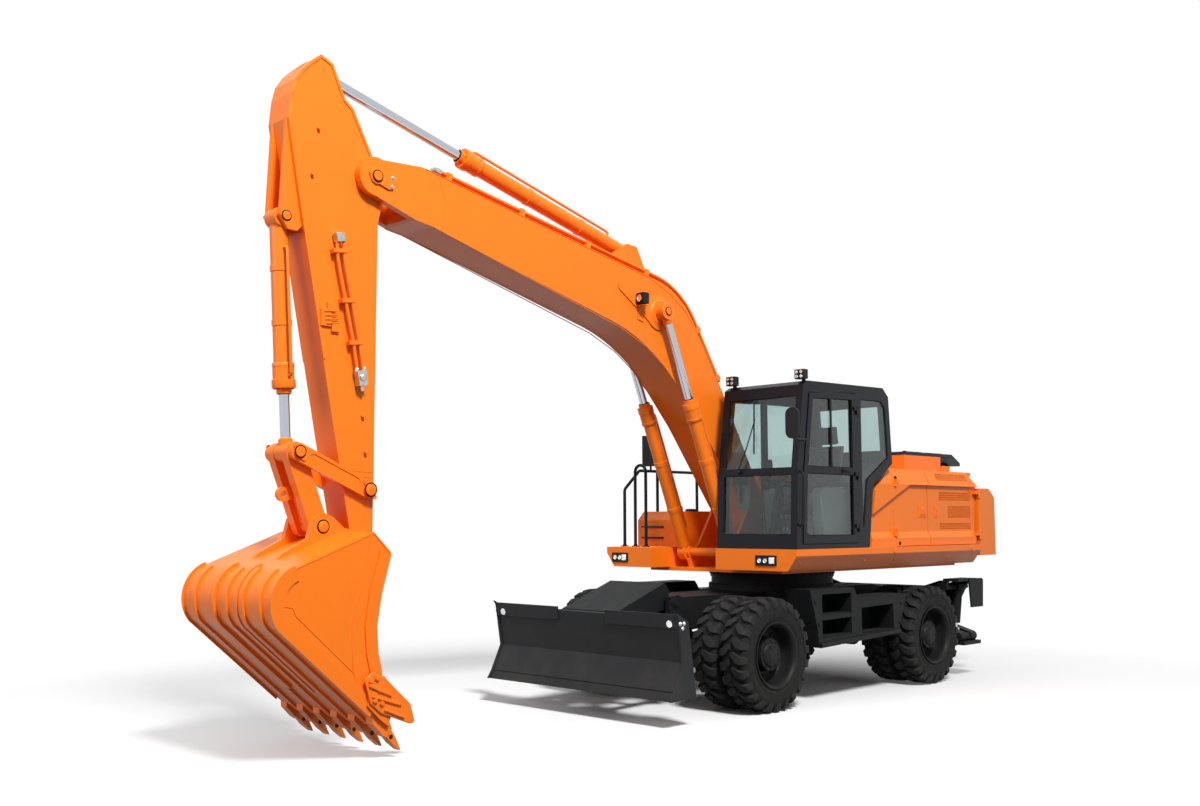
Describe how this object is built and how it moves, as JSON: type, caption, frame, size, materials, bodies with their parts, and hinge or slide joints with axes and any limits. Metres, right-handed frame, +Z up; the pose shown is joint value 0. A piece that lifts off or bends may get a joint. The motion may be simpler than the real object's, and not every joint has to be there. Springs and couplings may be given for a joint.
{
  "type": "wheeled excavator",
  "caption": "Wheeled excavator: turning upper body with glazed cab, boom, arm and bucket on twin-tyred axles, with a dozer blade and stabiliser legs.",
  "frame": {"origin": "on the ground under the upper body's turning axis", "axes": "+X forward, along the boom at rest; +Y to the left, the cab's side; +Z up"},
  "size_m": [9.4628, 2.65, 5.49],
  "materials": {
    "black": "black moulded plastic",
    "cab_dark": "blue-black satin paint",
    "casting": "dark painted casting",
    "charcoal": "dark grey satin paint",
    "chrome": "polished rod",
    "glass": "tinted glass",
    "lamp": "clear lamp lens",
    "orange": "orange gloss paint",
    "rim": "dark grey satin paint",
    "steel": "machined steel",
    "trim": "grey moulded trim",
    "tyre": "moulded black rubber"
  },
  "bodies": {
    "undercarriage": {"chassis": "charcoal", "side_steps": "charcoal", "front_axle": "casting", "rear_axle": "casting", "driveline": "casting", "stabiliser_frame": "charcoal"},
    "knuckle_left": {"knuckle_left": "casting"},
    "knuckle_right": {"knuckle_right": "casting"},
    "tie_rod": {"tie_rod": "steel"},
    "wheel_front_left": {"tyres_front_left": "tyre", "rims_front_left": "rim"},
    "wheel_front_right": {"tyres_front_right": "tyre", "rims_front_right": "rim"},
    "wheel_rear_left": {"tyres_rear_left": "tyre", "rims_rear_left": "rim"},
    "wheel_rear_right": {"tyres_rear_right": "tyre", "rims_rear_right": "rim"},
    "blade_arms": {"blade_arms": "charcoal"},
    "blade": {"blade": "charcoal"},
    "blade_cover": {"blade_cover": "charcoal"},
    "blade_barrels": {"blade_cylinder_barrels": "charcoal"},
    "blade_rods": {"blade_cylinder_rods": "chrome"},
    "stabiliser_leg_left": {"stabiliser_leg_left": "charcoal"},
    "stabiliser_leg_right": {"stabiliser_leg_right": "charcoal"},
    "stabiliser_barrel_left": {"stabiliser_barrel_left": "charcoal"},
    "stabiliser_barrel_right": {"stabiliser_barrel_right": "charcoal"},
    "stabiliser_rod_left": {"stabiliser_rod_left": "chrome"},
    "stabiliser_rod_right": {"stabiliser_rod_right": "chrome"},
    "upper": {"deck": "orange", "cab_shell": "cab_dark", "cab_glass": "glass", "cab_interior": "trim", "engine": "casting", "tanks": "orange", "cowl": "orange", "counterweight": "orange", "handrails": "cab_dark", "mirrors": "black", "lamps": "lamp"},
    "cab_door": {"cab_door": "cab_dark", "cab_door_glass": "glass"},
    "engine_door_front": {"engine_door_front": "orange"},
    "engine_door_rear": {"engine_door_rear": "orange"},
    "pump_door": {"pump_door": "orange"},
    "hood_lid": {"hood_lid": "cab_dark"},
    "boom": {"boom": "orange", "boom_fittings": "orange"},
    "boom_barrels": {"boom_cylinder_barrels": "orange"},
    "boom_rods": {"boom_cylinder_rods": "chrome"},
    "arm_barrel": {"arm_cylinder_barrel": "orange"},
    "arm_rod": {"arm_cylinder_rod": "chrome"},
    "arm": {"arm": "orange"},
    "bucket_barrel": {"bucket_cylinder_barrel": "orange"},
    "bucket_rod": {"bucket_cylinder_rod": "chrome"},
    "guide_links": {"guide_links": "orange"},
    "bucket_link": {"bucket_link": "orange"},
    "bucket": {"bucket": "orange", "bucket_wear_parts": "orange"}
  },
  "joints": [
    {"name": "swing", "type": "hinge", "parent": "undercarriage", "child": "upper", "pos_m": [0, 0, 0], "axis": [0, 0, 1], "continuous": true},
    {"name": "boom_lift", "type": "hinge", "parent": "upper", "child": "boom", "pos_m": [0.315, -0.16, 1.84], "axis": [0, -1, 0], "range_deg": [-57, 35]},
    {"name": "boom_barrels_swing", "type": "hinge", "parent": "upper", "child": "boom_barrels", "pos_m": [0.885, -0.16, 1.45], "axis": [0, -1, 0], "range_deg": [-62, 37]},
    {"name": "boom_rods_slide", "type": "slide", "parent": "boom_barrels", "child": "boom_rods", "axis": [0.3833, 0, 0.9236], "range_m": [-0.66, 0.39]},
    {"name": "arm_swing", "type": "hinge", "parent": "boom", "child": "arm", "pos_m": [5.275, -0.16, 4.58], "axis": [0, 1, 0], "range_deg": [-93, 25]},
    {"name": "arm_barrel_swing", "type": "hinge", "parent": "boom", "child": "arm_barrel", "pos_m": [2.155, -0.16, 4.46], "axis": [0, 1, 0], "range_deg": [-10, 4]},
    {"name": "arm_rod_slide", "type": "slide", "parent": "arm_barrel", "child": "arm_rod", "axis": [0.9672, 0, 0.254], "range_m": [-1.38, 0.38]},
    {"name": "bucket_tilt", "type": "hinge", "parent": "arm", "child": "bucket", "pos_m": [5.315, -0.16, 1.6], "axis": [0, 1, 0], "range_deg": [-30, 140]},
    {"name": "bucket_barrel_swing", "type": "hinge", "parent": "arm", "child": "bucket_barrel", "pos_m": [6.03, -0.16, 4.14], "axis": [0, 1, 0], "range_deg": [-2, 4]},
    {"name": "bucket_rod_slide", "type": "slide", "parent": "bucket_barrel", "child": "bucket_rod", "axis": [-0.0573, 0, -0.9984], "range_m": [-0.22, 0.93]},
    {"name": "guide_links_swing", "type": "hinge", "parent": "arm", "child": "guide_links", "pos_m": [5.285, -0.16, 2.03], "axis": [0, 1, 0], "range_deg": [-20, 85]},
    {"name": "bucket_link_swing", "type": "hinge", "parent": "bucket", "child": "bucket_link", "pos_m": [5.705, -0.16, 1.74], "axis": [0, 1, 0], "range_deg": [-98, 24]},
    {"name": "steering_left", "type": "hinge", "parent": "undercarriage", "child": "knuckle_left", "pos_m": [1.578, 0.65, 0.53], "axis": [0, 0, 1], "range_deg": [-20, 20]},
    {"name": "steering_right", "type": "hinge", "parent": "undercarriage", "child": "knuckle_right", "pos_m": [1.578, -0.65, 0.53], "axis": [0, 0, 1], "range_deg": [-21, 21]},
    {"name": "tie_rod_slide", "type": "slide", "parent": "undercarriage", "child": "tie_rod", "axis": [0, 1, 0], "range_m": [-0.085, 0.085]},
    {"name": "wheel_spin_front_left", "type": "hinge", "parent": "knuckle_left", "child": "wheel_front_left", "pos_m": [1.578, 0.93, 0.53], "axis": [0, 1, 0], "continuous": true},
    {"name": "wheel_spin_front_right", "type": "hinge", "parent": "knuckle_right", "child": "wheel_front_right", "pos_m": [1.578, -0.93, 0.53], "axis": [0, 1, 0], "continuous": true},
    {"name": "wheel_spin_rear_left", "type": "hinge", "parent": "undercarriage", "child": "wheel_rear_left", "pos_m": [-1.276, 0.93, 0.53], "axis": [0, 1, 0], "continuous": true},
    {"name": "wheel_spin_rear_right", "type": "hinge", "parent": "undercarriage", "child": "wheel_rear_right", "pos_m": [-1.276, -0.93, 0.53], "axis": [0, 1, 0], "continuous": true},
    {"name": "blade_lift", "type": "hinge", "parent": "undercarriage", "child": "blade_arms", "pos_m": [2.12, 0, 0.56], "axis": [0, -1, 0], "range_deg": [-38, 18]},
    {"name": "blade_level", "type": "hinge", "parent": "blade_arms", "child": "blade", "pos_m": [2.72, 0, 0.445], "axis": [0, -1, 0], "range_deg": [-19, 39]},
    {"name": "blade_cover_swing", "type": "hinge", "parent": "undercarriage", "child": "blade_cover", "pos_m": [2.12, 0, 1.01], "axis": [0, -1, 0], "range_deg": [-39, 19]},
    {"name": "blade_barrels_swing", "type": "hinge", "parent": "undercarriage", "child": "blade_barrels", "pos_m": [2.105, 0, 0.93], "axis": [0, -1, 0], "range_deg": [-32, 16]},
    {"name": "blade_rods_slide", "type": "slide", "parent": "blade_barrels", "child": "blade_rods", "axis": [0.8492, 0, -0.5281], "range_m": [-0.07, 0.14]},
    {"name": "stabiliser_left", "type": "hinge", "parent": "undercarriage", "child": "stabiliser_leg_left", "pos_m": [-2.155, 0.43, 0.64], "axis": [-1, 0, 0], "range_deg": [0, 33]},
    {"name": "stabiliser_barrel_swing_left", "type": "hinge", "parent": "undercarriage", "child": "stabiliser_barrel_left", "pos_m": [-2.155, 1.04, 1.01], "axis": [-1, 0, 0], "range_deg": [-1, 10]},
    {"name": "stabiliser_rod_slide_left", "type": "slide", "parent": "stabiliser_barrel_left", "child": "stabiliser_rod_left", "axis": [0, -0.1072, -0.9942], "range_m": [-0.005, 0.32]},
    {"name": "stabiliser_right", "type": "hinge", "parent": "undercarriage", "child": "stabiliser_leg_right", "pos_m": [-2.155, -0.43, 0.64], "axis": [1, 0, 0], "range_deg": [0, 33]},
    {"name": "stabiliser_barrel_swing_right", "type": "hinge", "parent": "undercarriage", "child": "stabiliser_barrel_right", "pos_m": [-2.155, -1.04, 1.01], "axis": [1, 0, 0], "range_deg": [-1, 10]},
    {"name": "stabiliser_rod_slide_right", "type": "slide", "parent": "stabiliser_barrel_right", "child": "stabiliser_rod_right", "axis": [0, 0.1072, -0.9942], "range_m": [-0.005, 0.32]},
    {"name": "cab_door_hinge", "type": "hinge", "parent": "upper", "child": "cab_door", "pos_m": [0.168, 1.25, 2.3], "axis": [0, 0, 1], "range_deg": [0, 125]},
    {"name": "engine_door_front_hinge", "type": "hinge", "parent": "upper", "child": "engine_door_front", "pos_m": [-0.603, 1.219, 1.92], "axis": [0, 0, -1], "range_deg": [0, 100]},
    {"name": "engine_door_rear_hinge", "type": "hinge", "parent": "upper", "child": "engine_door_rear", "pos_m": [-2.395, 1.219, 1.92], "axis": [0, 0, 1], "range_deg": [0, 110]},
    {"name": "pump_door_hinge", "type": "hinge", "parent": "upper", "child": "pump_door", "pos_m": [-1.153, -1.219, 1.92], "axis": [0, 0, 1], "range_deg": [0, 110]},
    {"name": "hood_hinge", "type": "hinge", "parent": "upper", "child": "hood_lid", "pos_m": [-1.565, 0, 2.579], "axis": [0, 1, 0], "range_deg": [0, 60]}
  ],
  "couplings": [
    {"joint": "boom_barrels_swing", "follows": "boom_lift", "ratio": 1},
    {"joint": "boom_rods_slide", "follows": "boom_lift", "m_per_rad": 0.617},
    {"joint": "arm_barrel_swing", "follows": "arm_swing", "ratio": 0.089},
    {"joint": "arm_rod_slide", "follows": "arm_swing", "m_per_rad": 0.838},
    {"joint": "bucket_barrel_swing", "follows": "bucket_tilt", "ratio": 0.02},
    {"joint": "bucket_rod_slide", "follows": "bucket_tilt", "m_per_rad": 0.37},
    {"joint": "guide_links_swing", "follows": "bucket_tilt", "ratio": 0.58},
    {"joint": "bucket_link_swing", "follows": "bucket_tilt", "ratio": -0.66},
    {"joint": "steering_right", "follows": "steering_left", "ratio": 1},
    {"joint": "tie_rod_slide", "follows": "steering_left", "m_per_rad": -0.225},
    {"joint": "blade_level", "follows": "blade_lift", "ratio": -1},
    {"joint": "blade_cover_swing", "follows": "blade_lift", "ratio": 1},
    {"joint": "blade_barrels_swing", "follows": "blade_lift", "ratio": 0.786},
    {"joint": "blade_rods_slide", "follows": "blade_lift", "m_per_rad": -0.197},
    {"joint": "stabiliser_barrel_swing_left", "follows": "stabiliser_left", "ratio": 0.277},
    {"joint": "stabiliser_rod_slide_left", "follows": "stabiliser_left", "m_per_rad": 0.538},
    {"joint": "stabiliser_barrel_swing_right", "follows": "stabiliser_right", "ratio": 0.277},
    {"joint": "stabiliser_rod_slide_right", "follows": "stabiliser_right", "m_per_rad": 0.538}
  ]
}
